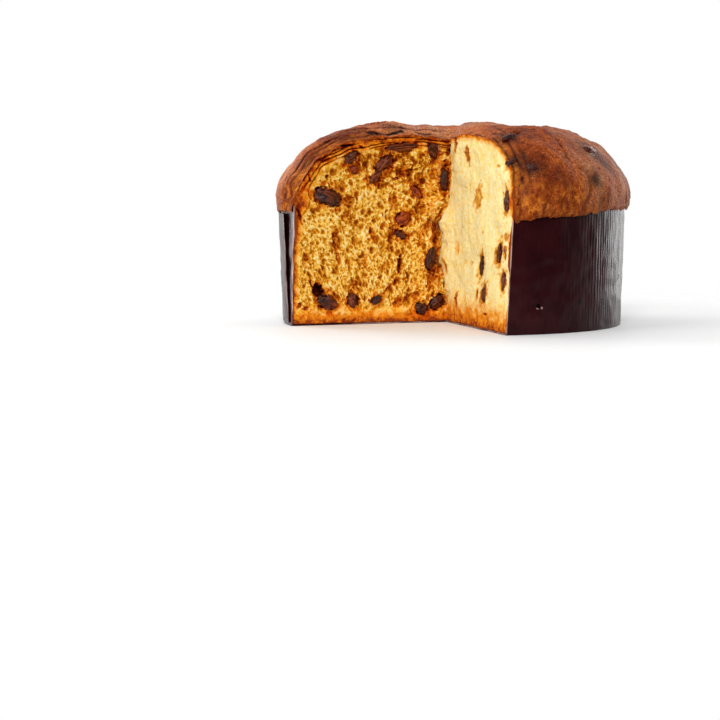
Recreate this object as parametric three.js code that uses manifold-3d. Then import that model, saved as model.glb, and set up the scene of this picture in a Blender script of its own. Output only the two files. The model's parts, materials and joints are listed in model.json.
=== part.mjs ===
// A low, wide panettone in its dark paper case, with a wedge of about a quarter cut out of it.
// Millimetres, +Z up. The wedge opens towards -Y. The origin is on the surface that the case stands on,
// under the middle of the cut cake's outline. The cake's own axis lies a little in front of it, at CAKE_AXIS.
import * as THREE from 'three';
import { mergeVertices } from 'three/addons/utils/BufferGeometryUtils.js';
import Module from 'manifold-3d';

// Paper case
const CASE_HEIGHT = 72;
const CASE_BASE_RADIUS = 103;
const CASE_TOP_RADIUS = 104.4;
const PAPER = 0.8;
const GAP = 0.35;

// Glued overlap of the case's wall near the left cut: its outer ply has sprung open at the top
const FLAP_AZIMUTH = -74;
const FLAP_TURN = 38;
const FLAP_LIFT = 2;
const FLAP_BASE_LIFT = 0.5;
const FLAP_BOTTOM = 1.5;
const FLAP_TOP = 65.5;
const FLAP_STEPS = 10;

// Crown: a flattened dome that swelled over the case's edge
const CROWN_RADIUS = 108.3;
const CROWN_WAIST = 76;
const CROWN_RISE = 45.1;
const CROWN_ROUNDNESS = 0.625;
const CROWN_FLATNESS = 0.952;
const LIP_RADIUS = 107.4;
const LIP_HEIGHT = 68.5;
const LIP_WAVE = 1.6;
const LIP_DROOP = 4.2;
const LIP_DROOP_WIDTH = 16;

// Cut: two faces that meet at the vertex line, each turned a little more the lower it is
const CAKE_AXIS = new THREE.Vector2(0, -3);
const VERTEX = new THREE.Vector2(-3.5, 0);
const LEFT_AZIMUTH = -71;
const LEFT_TWIST = 0.065;
const RIGHT_AZIMUTH = 16;
const RIGHT_TWIST = 0.025;
const KNIFE_REACH = 126;
const KNIFE_FAR = 220;
const KNIFE_BOTTOM = -6;
const KNIFE_TOP = 134;
const EDGE_ROLL = 6.5;
const EDGE_ROLL_WIDTH = 9;

// How far the line where the two faces meet strays to the right: pairs of height and shift
const VALLEY = [
  [4, 1], [13.5, 0.7], [23, 0], [32, -2], [38, -4.4], [42, -4.2], [48.7, -1.8],
  [56, -3.4], [61.5, -4.6], [66, -2.2], [72.6, 1.2], [81, 2.2], [89, 2.8], [105, 1.8],
];
const VALLEY_WIDTH = 9;

// Crumb relief on the cut faces
const CRUMB_SWELL = 1.1;
const CRUMB_SWELL_SIZE = 19;
const CRUMB_PORES = 0.9;
const CRUMB_PORE_SIZE = 8;
const TORN_DEPTH = 2.2;
const TORN_REACH = 24;

// Fineness
const TURN_STEPS = 120;
const CROWN_RINGS = 23;
const FACE_STEPS = 22;
const FACE_ROWS = 25;

const radians = THREE.MathUtils.degToRad;
const wasm = await Module();
wasm.setup();

// Smooth noise from -1 to 1, the same for the same place each time
function hash(i, j, k) {
  const wave = Math.sin(i * 127.1 + j * 311.7 + k * 74.7) * 43758.5453;
  return (wave - Math.floor(wave)) * 2 - 1;
}

function noise(x, y, z = 0) {
  const [i, j, k] = [Math.floor(x), Math.floor(y), Math.floor(z)];
  const [u, v, w] = [x - i, y - j, z - k].map((t) => t * t * (3 - 2 * t));
  const mix = THREE.MathUtils.lerp;
  const row = (b, c) => mix(hash(i, b, c), hash(i + 1, b, c), u);
  return mix(mix(row(j, k), row(j + 1, k), v), mix(row(j, k + 1), row(j + 1, k + 1), v), w);
}

function bump(distance, width) {
  return Math.exp(-((distance / width) ** 2));
}

// The cut's two faces. along runs from the vertex line out to the crust, into points into the cake.
function cutFace(side, height) {
  const isLeft = side === 'left';
  const turn = isLeft ? LEFT_AZIMUTH + LEFT_TWIST * height : RIGHT_AZIMUTH + RIGHT_TWIST * height;
  const angle = radians(turn);
  const along = new THREE.Vector2(Math.sin(angle), -Math.cos(angle));
  const into = new THREE.Vector2(Math.cos(angle), Math.sin(angle)).multiplyScalar(isLeft ? -1 : 1);
  return { along, into };
}

function distanceFromCut(x, y, height) {
  const place = new THREE.Vector2(x, y).sub(VERTEX);
  const sides = ['left', 'right'].map((side) => place.dot(cutFace(side, height).into));
  return Math.max(0, ...sides);
}

function crumbRelief(side, along, height) {
  const shift = side === 'left' ? 0 : 40;
  const swell = noise(along / CRUMB_SWELL_SIZE + shift, height / CRUMB_SWELL_SIZE);
  const pores = noise(along / CRUMB_PORE_SIZE + shift, height / CRUMB_PORE_SIZE, 5);
  const torn = side === 'left' ? bump(along - TORN_REACH / 3, TORN_REACH / 1.5) : 0.3 * bump(along, 8);
  const shreds = noise(along / 5, height / 7, 9);
  return CRUMB_SWELL * swell + CRUMB_PORES * pores + TORN_DEPTH * torn * shreds;
}

function onCutFace(side, along, height, depth) {
  const face = cutFace(side, height);
  return new THREE.Vector3(
    VERTEX.x + face.along.x * along + face.into.x * depth,
    VERTEX.y + face.along.y * along + face.into.y * depth,
    height,
  );
}

function valleyShift(height) {
  const next = VALLEY.findIndex(([level]) => level > height);
  if (next === 0) return VALLEY[0][1];
  if (next === -1) return VALLEY[VALLEY.length - 1][1];
  const [low, shiftLow] = VALLEY[next - 1];
  const [high, shiftHigh] = VALLEY[next];
  return THREE.MathUtils.mapLinear(height, low, high, shiftLow, shiftHigh);
}

// Swellings and hollows of the crown: place, reach and height of each
const CROWN_LOBES = [
  { x: -46, y: 8, reach: 26, lift: 3 },
  { x: -27, y: 2, reach: 9, lift: -1.8 },
  { x: -6, y: -4, reach: 18, lift: -2.6 },
  { x: 16, y: 8, reach: 18, lift: 2 },
  { x: 38, y: -6, reach: 12, lift: -3.2 },
  { x: 62, y: -6, reach: 26, lift: 1.8 },
  { x: 20, y: 62, reach: 30, lift: 2.2 },
  { x: -40, y: 60, reach: 22, lift: -1.4 },
  { x: 88, y: 34, reach: 22, lift: -1 },
];

// Folds of the skin: where one sheet of crust slid over another, as a line with a step across it
const CROWN_FOLDS = [
  { from: [34, 6], to: [64, -70], bow: 9, step: 1.6 },
  { from: [-62, 44], to: [10, 84], bow: -10, step: 1.3 },
  { from: [60, 50], to: [14, 36], bow: 6, step: 1.1 },
  { from: [-30, 8], to: [-78, 12], bow: 5, step: 1.2 },
];
const FOLD_WIDTH = 7;

function foldStep(x, y, fold) {
  const from = new THREE.Vector2(...fold.from);
  const run = new THREE.Vector2(...fold.to).sub(from);
  const place = new THREE.Vector2(x, y).sub(from);
  const length = run.length();
  const share = place.dot(run) / length ** 2;
  const off = place.cross(run) / length - fold.bow * Math.sin(Math.PI * THREE.MathUtils.clamp(share, 0, 1));
  const fade = THREE.MathUtils.smoothstep(share, -0.1, 0.2) * (1 - THREE.MathUtils.smoothstep(share, 0.8, 1.1));
  return fade * fold.step * Math.sign(off) * bump(Math.abs(off) - 1.5, FOLD_WIDTH);
}

function crownSwell(x, y, height) {
  const lobes = CROWN_LOBES.reduce((sum, l) => sum + l.lift * bump(Math.hypot(x - l.x, y - l.y), l.reach), 0);
  const folds = CROWN_FOLDS.reduce((sum, fold) => sum + foldStep(x, y, fold), 0);
  const knobs = 1.1 * noise(x / 17, y / 17, height / 17) + 0.8 * noise(x / 8, y / 8, height / 8);
  const roll = EDGE_ROLL * bump(distanceFromCut(x, y, height), EDGE_ROLL_WIDTH);
  return lobes + folds + knobs - roll;
}

// Height of the crown's hanging lip at an azimuth: lowest beside the right cut, highest at the right
function lipHeight(azimuth) {
  const fromCut = THREE.MathUtils.euclideanModulo(azimuth - radians(RIGHT_AZIMUTH) + Math.PI, 2 * Math.PI) - Math.PI;
  const droop = LIP_DROOP * bump((fromCut / Math.PI) * 180, LIP_DROOP_WIDTH);
  const rise = 2.2 * bump((fromCut / Math.PI) * 180 - 66, 24);
  const wave = LIP_WAVE * noise(Math.cos(azimuth) * 3 + 7, Math.sin(azimuth) * 3);
  return LIP_HEIGHT + rise + wave - droop;
}

// Closed solids
function closedGeometry(geometry) {
  const bare = new THREE.BufferGeometry();
  bare.setAttribute('position', geometry.getAttribute('position').clone());
  if (geometry.index) bare.setIndex(geometry.index.clone());
  const merged = mergeVertices(bare, 1e-4);
  const corners = merged.index.array;
  const kept = [];
  for (let n = 0; n < corners.length; n += 3) {
    const [a, b, c] = corners.slice(n, n + 3);
    if (a !== b && b !== c && c !== a) kept.push(a, b, c);
  }
  merged.setIndex(kept);
  return merged;
}

function toSolid(geometry) {
  const closed = closedGeometry(geometry);
  const vertProperties = new Float32Array(closed.getAttribute('position').array);
  const triVerts = new Uint32Array(closed.index.array);
  const solid = new wasm.Manifold(new wasm.Mesh({ numProp: 3, vertProperties, triVerts }));
  if (solid.volume() > 0) return solid;
  for (let n = 0; n < triVerts.length; n += 3) {
    [triVerts[n], triVerts[n + 1]] = [triVerts[n + 1], triVerts[n]];
  }
  return new wasm.Manifold(new wasm.Mesh({ numProp: 3, vertProperties, triVerts }));
}

function toMesh(solid, name, material) {
  const mesh = solid.getMesh();
  const geometry = new THREE.BufferGeometry();
  geometry.setAttribute('position', new THREE.BufferAttribute(mesh.vertProperties, 3));
  geometry.setIndex(new THREE.BufferAttribute(mesh.triVerts, 1));
  geometry.computeVertexNormals();
  const part = new THREE.Mesh(geometry, material);
  part.name = name;
  return part;
}

// A lathe about +Z whose points are then moved by place(azimuth, index, point)
function turned(profile, place = (azimuth, index, point) => point) {
  const geometry = new THREE.LatheGeometry(profile, TURN_STEPS);
  const position = geometry.getAttribute('position');
  for (let n = 0; n < position.count; n += 1) {
    const step = Math.floor(n / profile.length) % TURN_STEPS;
    const azimuth = (step / TURN_STEPS) * 2 * Math.PI;
    const index = n % profile.length;
    const { x: radius, y: height } = place(azimuth, index, profile[index]);
    position.setXYZ(n, radius * Math.sin(azimuth), -radius * Math.cos(azimuth), height);
  }
  return toSolid(geometry);
}

// The crown's smooth outline, from below its waist to the top, in steps of equal length
function crownOutline() {
  const fine = 80;
  const points = [new THREE.Vector2(LIP_RADIUS, LIP_HEIGHT)];
  for (let n = 0; n <= fine; n += 1) {
    const angle = (n / fine) * (Math.PI / 2);
    const radius = n === fine ? 0 : CROWN_RADIUS * Math.cos(angle) ** CROWN_ROUNDNESS;
    points.push(new THREE.Vector2(radius, CROWN_WAIST + CROWN_RISE * Math.sin(angle) ** CROWN_FLATNESS));
  }
  return new THREE.Path(points).getSpacedPoints(CROWN_RINGS);
}

function wholeCake() {
  const outline = crownOutline();
  const inside = PAPER + GAP;
  const underLip = [
    new THREE.Vector2(0, inside),
    new THREE.Vector2(CASE_BASE_RADIUS - inside, inside),
    new THREE.Vector2(CASE_TOP_RADIUS - inside, CASE_HEIGHT + GAP),
    new THREE.Vector2(CASE_TOP_RADIUS + GAP, CASE_HEIGHT + GAP),
    new THREE.Vector2(CASE_TOP_RADIUS + GAP, LIP_HEIGHT),
  ];
  const profile = [...underLip, ...outline];
  const first = underLip.length;
  return turned(profile, (azimuth, index, point) => {
    const hang = lipHeight(azimuth) - LIP_HEIGHT;
    if (index < first - 1) return point;
    if (index === first - 1) return point.clone().add(new THREE.Vector2(0.5, hang));
    if (index === profile.length - 1) return new THREE.Vector2(0, point.y + crownSwell(0, 0, point.y));
    const before = outline[Math.max(0, index - first - 1)];
    const after = outline[index - first + 1];
    const run = after.clone().sub(before).normalize();
    const out = new THREE.Vector2(run.y, -run.x);
    const ease = THREE.MathUtils.smoothstep(index - first, -1, 3);
    const swell = ease * crownSwell(point.x * Math.sin(azimuth), -point.x * Math.cos(azimuth), point.y);
    const low = 1 - THREE.MathUtils.smoothstep(index - first, 0, 3);
    return point.clone().addScaledVector(out, swell).add(new THREE.Vector2(0, hang * low));
  });
}

// Everything that the knife took away: a sheet bent at the vertex line, carried out past the crust.
// The cake's knife has the crumb's relief, and the case's is plain.
function knife(relief) {
  const block = new THREE.BoxGeometry(2, 1, 1, 2 * FACE_STEPS, FACE_ROWS, 1);
  const position = block.getAttribute('position');
  for (let n = 0; n < position.count; n += 1) {
    const across = position.getX(n);
    const height = THREE.MathUtils.lerp(KNIFE_BOTTOM, KNIFE_TOP, position.getY(n) + 0.5);
    if (position.getZ(n) > 0) {
      position.setXYZ(n, across * KNIFE_FAR, -KNIFE_FAR, height);
      continue;
    }
    const side = across < 0 ? 'left' : 'right';
    const along = Math.abs(across) * KNIFE_REACH;
    const depth = relief ? relief(side, along, height) * THREE.MathUtils.smoothstep(along, 0, 4) : 0;
    const place = onCutFace(side, along, height, depth);
    place.x += valleyShift(height) * bump(along, VALLEY_WIDTH);
    position.setXYZ(n, ...place.toArray());
  }
  return toSolid(block);
}

// Paper case, with the overlap of its glued ends lifting off at the left cut
function seamFlap() {
  const strip = new THREE.BoxGeometry(1, 1, 1, FLAP_STEPS, 1, 1);
  const position = strip.getAttribute('position');
  for (let n = 0; n < position.count; n += 1) {
    const share = position.getX(n) + 0.5;
    const isTop = position.getY(n) > 0;
    const height = isTop ? FLAP_TOP : FLAP_BOTTOM;
    const wall = THREE.MathUtils.lerp(CASE_BASE_RADIUS, CASE_TOP_RADIUS, height / CASE_HEIGHT);
    const lift = (isTop ? FLAP_LIFT : FLAP_BASE_LIFT) * (1 - share ** 2) - (PAPER / 2) * share ** 4;
    const radius = wall + lift + (position.getZ(n) > 0 ? PAPER : 0);
    const azimuth = radians(FLAP_AZIMUTH - FLAP_TURN * share);
    position.setXYZ(n, radius * Math.sin(azimuth), -radius * Math.cos(azimuth), height);
  }
  return toSolid(strip);
}

function paperCase() {
  const wall = [
    new THREE.Vector2(0, 0),
    new THREE.Vector2(CASE_BASE_RADIUS, 0),
    new THREE.Vector2(CASE_TOP_RADIUS, CASE_HEIGHT),
    new THREE.Vector2(CASE_TOP_RADIUS - PAPER, CASE_HEIGHT),
    new THREE.Vector2(CASE_BASE_RADIUS - PAPER, PAPER),
    new THREE.Vector2(0, PAPER),
  ];
  return turned(wall).add(seamFlap()).subtract(knife());
}

// Fruit
const BERRY_LUMPS = 0.13;
const BERRY_LUMP_SCALE = 1.7;
const FACE_SEED_STEP = 3.1;
const CROWN_SEED_STEP = 5.3;

// A lumpy berry that lies in its own socket. spare swells it to cut the socket.
function berry(place, turn, size, seed, spare = 0) {
  const lump = new THREE.IcosahedronGeometry(1, 1);
  const position = lump.getAttribute('position');
  const corner = new THREE.Vector3();
  for (let n = 0; n < position.count; n += 1) {
    corner.fromBufferAttribute(position, n).normalize();
    const spot = corner.clone().multiplyScalar(BERRY_LUMP_SCALE);
    const lumps = 1 + BERRY_LUMPS * noise(spot.x + seed, spot.y, spot.z);
    corner.multiply(size.clone().multiplyScalar(lumps / 2).addScalar(spare));
    corner.applyQuaternion(turn).add(place);
    position.setXYZ(n, ...corner.toArray());
  }
  return toSolid(lump);
}

// Fruit on a cut face: along and height of its middle, its length, breadth and tilt
const FACE_FRUIT = [
  { name: 'raisin_left_1', side: 'left', along: 78.9, height: 77.1, long: 17.5, broad: 10, tilt: 24 },
  { name: 'raisin_left_2', side: 'left', along: 65.1, height: 100.2, long: 11.5, broad: 6.5, tilt: -32 },
  { name: 'raisin_left_3', side: 'left', along: 42.6, height: 97.2, long: 13, broad: 7, tilt: -36 },
  { name: 'raisin_left_4', side: 'left', along: 48.6, height: 88.6, long: 11, broad: 4.6, tilt: -38 },
  { name: 'raisin_left_5', side: 'left', along: 28.7, height: 63.9, long: 10, broad: 8.5, tilt: -30 },
  { name: 'raisin_left_6', side: 'left', along: 20.7, height: 80, long: 9.5, broad: 5, tilt: 35 },
  { name: 'raisin_left_7', side: 'left', along: 30.5, height: 54.2, long: 8, broad: 4.2, tilt: 22 },
  { name: 'raisin_left_8', side: 'left', along: 10.3, height: 39.4, long: 13.5, broad: 7.5, tilt: -80 },
  { name: 'raisin_left_9', side: 'left', along: 77.2, height: 14, long: 14, broad: 8, tilt: 18 },
  { name: 'raisin_left_10', side: 'left', along: 60.9, height: 14.2, long: 9, broad: 6.4, tilt: 85 },
  { name: 'raisin_left_11', side: 'left', along: 6.6, height: 12.4, long: 11, broad: 9, tilt: -28 },
  { name: 'raisin_left_12', side: 'left', along: 16.2, height: 8.8, long: 9.5, broad: 8, tilt: 10 },
  { name: 'raisin_left_13', side: 'left', along: 30.8, height: 107, long: 21, broad: 5, tilt: -5 },
  { name: 'raisin_left_14', side: 'left', along: 9.2, height: 105.6, long: 9, broad: 7.5, tilt: 60 },
  { name: 'raisin_left_15', side: 'left', along: 45.7, height: 14.7, long: 6.5, broad: 4.6, tilt: -40 },
  { name: 'raisin_left_16', side: 'left', along: 62.9, height: 93.2, long: 6, broad: 4.6, tilt: -20 },
  { name: 'raisin_left_17', side: 'left', along: 1.2, height: 87.5, long: 14, broad: 5, tilt: -86 },
  { name: 'raisin_right_1', side: 'right', along: 65.5, height: 21.3, long: 11, broad: 9, tilt: 50 },
  { name: 'raisin_right_2', side: 'right', along: 59.3, height: 37.8, long: 13, broad: 8, tilt: 62 },
  { name: 'raisin_right_3', side: 'right', along: 86.5, height: 45, long: 12, broad: 7.5, tilt: 80 },
  { name: 'raisin_right_4', side: 'right', along: 94, height: 29.5, long: 11, broad: 6.5, tilt: 90 },
  { name: 'raisin_right_5', side: 'right', along: 93.5, height: 75, long: 13, broad: 8, tilt: 90 },
  { name: 'candied_peel', side: 'right', along: 51.5, height: 75.8, long: 9, broad: 7, tilt: 90 },
];
const FACE_FRUIT_PROUD = 0.24;

// Fruit baked into the crown: azimuth and distance from the axis, size and turn
const CROWN_FRUIT = [
  { name: 'raisin_crown_1', azimuth: 23.8, radius: 75, long: 11, broad: 7, turn: 30 },
  { name: 'raisin_crown_2', azimuth: 56.4, radius: 92.8, long: 15, broad: 9.5, turn: 60 },
  { name: 'raisin_crown_3', azimuth: 23.6, radius: 103, long: 9, broad: 7, turn: 20 },
  { name: 'raisin_crown_4', azimuth: 18.8, radius: 96, long: 9, broad: 6, turn: 40 },
];
const CROWN_FRUIT_SUNK = 0.22;
const CROWN_FRUIT_THICK = 0.8;

function faceFruit(fruit, number, spare) {
  const depth = fruit.broad * (0.5 - FACE_FRUIT_PROUD);
  const face = cutFace(fruit.side, fruit.height);
  const place = onCutFace(fruit.side, fruit.along, fruit.height, depth);
  const along = new THREE.Vector3(face.along.x, face.along.y, 0);
  const into = new THREE.Vector3(face.into.x, face.into.y, 0);
  const up = new THREE.Vector3().crossVectors(into, along);
  const basis = new THREE.Matrix4().makeBasis(along, up, into);
  const tilt = radians(fruit.tilt) * Math.sign(up.z);
  const turn = new THREE.Quaternion().setFromRotationMatrix(basis);
  turn.multiply(new THREE.Quaternion().setFromAxisAngle(new THREE.Vector3(0, 0, 1), tilt));
  const size = new THREE.Vector3(fruit.long, fruit.broad, fruit.broad);
  return berry(place, turn, size, number * FACE_SEED_STEP, spare);
}

function crownHeight(radius) {
  const angle = Math.acos((radius / CROWN_RADIUS) ** (1 / CROWN_ROUNDNESS));
  return CROWN_WAIST + CROWN_RISE * Math.sin(angle) ** CROWN_FLATNESS;
}

function crownFruit(fruit, number, spare) {
  const azimuth = radians(fruit.azimuth);
  const height = crownHeight(fruit.radius);
  const step = 0.2;
  const slope = crownHeight(fruit.radius + step) - crownHeight(fruit.radius - step);
  const out = new THREE.Vector3(-slope * Math.sin(azimuth), slope * Math.cos(azimuth), 2 * step).normalize();
  const place = new THREE.Vector3(fruit.radius * Math.sin(azimuth), -fruit.radius * Math.cos(azimuth), height);
  place.addScaledVector(out, crownSwell(place.x, place.y, height) - fruit.broad * CROWN_FRUIT_SUNK);
  const turn = new THREE.Quaternion().setFromUnitVectors(new THREE.Vector3(0, 0, 1), out);
  turn.multiply(new THREE.Quaternion().setFromAxisAngle(new THREE.Vector3(0, 0, 1), radians(fruit.turn)));
  const size = new THREE.Vector3(fruit.long, fruit.broad, fruit.broad * CROWN_FRUIT_THICK);
  return berry(place, turn, size, number * CROWN_SEED_STEP, spare);
}

// Finishes
const CRUST = new THREE.MeshStandardMaterial({ color: '#9a5a2c', roughness: 0.7, metalness: 0 });
const CASE_PAPER = new THREE.MeshStandardMaterial({ color: '#2a1014', roughness: 0.42, metalness: 0 });
const RAISIN = new THREE.MeshStandardMaterial({ color: '#3a1810', roughness: 0.35, metalness: 0 });
const PEEL = new THREE.MeshStandardMaterial({ color: '#d98a1e', roughness: 0.3, metalness: 0 });

function panettone() {
  const parts = [];
  let cake = wholeCake().subtract(knife(crumbRelief));
  FACE_FRUIT.forEach((fruit, number) => {
    cake = cake.subtract(faceFruit(fruit, number, GAP));
    parts.push(toMesh(faceFruit(fruit, number, 0), fruit.name, fruit.name === 'candied_peel' ? PEEL : RAISIN));
  });
  CROWN_FRUIT.forEach((fruit, number) => {
    cake = cake.subtract(crownFruit(fruit, number, GAP));
    parts.push(toMesh(crownFruit(fruit, number, 0), fruit.name, RAISIN));
  });
  const [body] = cake.decompose().sort((a, b) => b.volume() - a.volume());
  parts.unshift(toMesh(body, 'cake_body', CRUST), toMesh(paperCase(), 'paper_case', CASE_PAPER));
  return parts;
}

const group = new THREE.Group();
group.add(...panettone());
group.position.set(CAKE_AXIS.x, CAKE_AXIS.y, 0);

export default group;
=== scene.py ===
"""The looks of a low, wide panettone in its dark paper case, with a wedge cut out of it.

Shapes are worked out in millimetres about the cake's own axis, with +Z up, and go into Blender in metres.
"""

import json
import math

import bmesh
import bpy
import numpy as np
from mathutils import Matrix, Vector

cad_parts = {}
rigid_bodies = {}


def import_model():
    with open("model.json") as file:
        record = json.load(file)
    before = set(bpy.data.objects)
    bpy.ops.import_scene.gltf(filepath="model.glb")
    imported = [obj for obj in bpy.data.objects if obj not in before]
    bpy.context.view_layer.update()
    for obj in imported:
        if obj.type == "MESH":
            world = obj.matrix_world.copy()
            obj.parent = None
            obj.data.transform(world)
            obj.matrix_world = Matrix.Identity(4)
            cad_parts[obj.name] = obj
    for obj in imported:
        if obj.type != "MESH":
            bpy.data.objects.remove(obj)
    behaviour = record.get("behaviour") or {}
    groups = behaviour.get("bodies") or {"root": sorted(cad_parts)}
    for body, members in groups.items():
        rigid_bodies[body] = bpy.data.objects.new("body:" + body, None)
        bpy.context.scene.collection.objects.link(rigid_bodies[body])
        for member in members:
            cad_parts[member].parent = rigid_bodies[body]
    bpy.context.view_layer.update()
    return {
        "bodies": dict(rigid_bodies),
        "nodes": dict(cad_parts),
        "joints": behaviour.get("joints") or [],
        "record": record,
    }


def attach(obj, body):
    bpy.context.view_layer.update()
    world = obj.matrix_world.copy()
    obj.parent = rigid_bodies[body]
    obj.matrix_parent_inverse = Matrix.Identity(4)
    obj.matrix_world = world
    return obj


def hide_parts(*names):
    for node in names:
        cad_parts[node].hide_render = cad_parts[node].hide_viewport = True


MM = 0.001

# Camera and light
LENS = 85
SENSOR = 36
CAMERA_PLACE = (-56.8, -1049, 81)
CAMERA_PITCH = 5.7
# Lights: place and aim in metres, width and height, power
LIGHTS = {
    "key": ((-1.1, -0.75, 0.85), (0, 0, 0.06), (0.7, 0.7), 7.4),
    "front": ((-0.1, -1.5, 0.9), (0, 0, 0.06), (0.5, 0.5), 20),
    "right_rim": ((0.9, 0.75, 0.35), (0.1, 0, 0.06), (0.7, 0.9), 5),
    "left_rim": ((-0.95, 0.6, 0.35), (-0.1, 0, 0.06), (0.7, 0.9), 9),
}
# The room's own light, from its front to its back: directions and strengths
ROOM_TURN = (-0.35, 0.5)
ROOM_STRENGTH = (0.07, 1)
FLOOR_REACH = 3000
FLOOR_FADE = (0.14, 0.42)

# Paper case
CASE_HEIGHT = 72
CASE_BASE_RADIUS = 103
CASE_TOP_RADIUS = 104.4
PAPER = 0.8
GAP = 0.35
FLAP_AZIMUTH = -74
FLAP_TURN = 38
FLAP_LIFT = 2
FLAP_BASE_LIFT = 0.5
FLAP_BOTTOM = 1.5
FLAP_TOP = 65.5
FLAP_TUCKED = 1.8
FLAP_GAP = 0.15
WALL_PLY = 0.7
FLAP_PLY = 0.5
RIBS = 230
RIB_STEPS = 5
RIB_DEPTH = 0.13
CASE_STEPS = int(RIBS * RIB_STEPS * 0.78)
CASE_ROWS = 46
FLAP_STEPS = 260
FLAP_ROWS = 40
# The wall's rim lies lower over its first part, beside the right cut
RIM_SUNK = 7.6
RIM_SUNK_SHARE = 0.012
# Holes pierced low in the case, painted as near-black discs of shade and not cut through: place and reach,
# then the pale torn spots beside them
PAPER_HOLES = [
    ((43.6, -93.7, 16.1), 1.3, [((43.2, -93.8, 15.1), 0.9), ((45.7, -92.6, 15), 0.7)]),
    ((68.8, -77.1, 17.3), 1.6, []),
]

# Crown
CROWN_RADIUS = 108.3
CROWN_WAIST = 76
CROWN_RISE = 45.1
CROWN_ROUNDNESS = 0.625
CROWN_FLATNESS = 0.952
LIP_RADIUS = 107.4
LIP_HEIGHT = 68.5
LIP_WAVE = 1.6
LIP_DROOP = 4.2
LIP_DROOP_WIDTH = 16
LIP_TUCK = 1.3
LIP_TUCK_HEIGHT = 2.5
# Creases side by side with the cut: how far from it, how wide, seed
RIM_LINES = [(1.6, 0.5, 3), (3.6, 0.55, 8), (6.2, 0.6, 13), (9.4, 0.6, 19)]

# Cut
CAKE_AXIS = (0, -3, 0)
VERTEX = (-3.5, 0)
LEFT_AZIMUTH = -71
LEFT_TWIST = 0.065
RIGHT_AZIMUTH = 16
RIGHT_TWIST = 0.025
EDGE_ROLL = 6.5
EDGE_ROLL_WIDTH = 9

# Crumb relief that the solid has too
CRUMB_SWELL = 1.1
CRUMB_SWELL_SIZE = 19
CRUMB_PORES = 0.9
CRUMB_PORE_SIZE = 8
TORN_DEPTH = 2.2
TORN_REACH = 24

# Fineness
TURN_STEPS = 840
CROWN_RINGS = 150
CRUMB_STEP = {"left": 0.37, "right": 0.42}
SLAB_DEPTH = 10
SLAB_OVERLAP = 0.1
KNIFE_REACH = 126
KNIFE_BOTTOM = -6
KNIFE_TOP = 134
KNIFE_ROWS = 30
FACE_REACH = KNIFE_REACH - 12
FACE_BOTTOM = -2
FACE_TOP = KNIFE_TOP - 10

# Crust on the cut faces: how deep it goes under the dome, the dome's side, the wall and the floor
DOME_CRUST = 16
SIDE_CRUST = 5
WALL_CRUST = 3.8
FLOOR_CRUST = 13
CRUST_SHARE = {"left": 1, "right": 0.42}
# Lines in that crust: level, width, depth, seed
CRUST_CREASES = [(0.09, 0.022, 1.7, 3), (0.2, 0.026, 2.3, 9), (0.34, 0.028, 2.2, 15), (0.5, 0.026, 1.6, 21)]

# Pores fan out upwards from a point under the cake: how far out and how low it lies,
# and how many times longer than wide they are
PORE_FAN = {"left": (42, -70, 1.55), "right": (60, -150, 2.3)}
# The pores' four sizes: how much longer still, cell, depth, seed, share of the cells filled
PORES = [
    (1.2, 5.5, 1.1, 11, 0.14),
    (1, 2.5, 1.7, 21, 0.35),
    (0.95, 1.5, 1.4, 31, 0.8),
    (0.8, 0.98, 1, 41, 0.95),
]
PIT_SMALL = 0.38
PIT_LARGE = 0.72
PORE_STRENGTH = {"left": 1.0, "right": 0.34}
LEAST_PORES = {"left": 0.42, "right": 0.12}
# How deep a pore is when its painted shade is darkest; the right face takes less of it
PORE_TONE = {"left": 1.8, "right": 4.2}

# Fruit
FRUIT_FLUSH = 0.4
FRUIT_UNEVEN = 0.32
RIGHT_FRUIT_UNEVEN = 0.55
AMBER_FRUIT = ("raisin_left_5", "raisin_left_6", "raisin_left_16")
# Dark, red and amber fruit: its skin, then painted shade in its folds and its deepest creases
FRUIT_TONES = [
    [(0.10, 0.016, 0.004), (0.040, 0.006, 0.002), (0.006, 0.001, 0.0007)],
    [(0.25, 0.045, 0.006), (0.11, 0.015, 0.003), (0.02, 0.002, 0.001)],
    [(0.42, 0.065, 0.003), (0.22, 0.022, 0.001), (0.07, 0.006, 0.001)],
]

# Lobes: middle, reach, lift
CROWN_LOBES = [
    (-46, 8, 26, 3),
    (-27, 2, 9, -1.8),
    (-6, -4, 18, -2.6),
    (16, 8, 18, 2),
    (38, -6, 12, -3.2),
    (62, -6, 26, 1.8),
    (20, 62, 30, 2.2),
    (-40, 60, 22, -1.4),
    (88, 34, 22, -1),
]
# Soft dips in the crown that the solid leaves out: middle, reach along each axis, depth
CROWN_DIPS = [
    ((41, -10, 118), (8, 32, 40), 2.6),
    ((-3, -6, 118), (4.5, 30, 40), 1.3),
    ((22, -8, 118), (9, 30, 40), 0.7),
    ((-41, -8, 118), (6, 30, 40), 0.7),
    ((102, -6, 94), (12, 46, 15), 1.7),
    ((-100, -6, 96), (10, 46, 15), 1.4),
]
# Folds: start and end, bow, step
CROWN_FOLDS = [
    ((34, 6), (64, -70), 9, 1.6),
    ((-62, 44), (10, 84), -10, 1.3),
    ((60, 50), (14, 36), 6, 1.1),
    ((-30, 8), (-78, 12), 5, 1.2),
]
FOLD_WIDTH = 7

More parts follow.
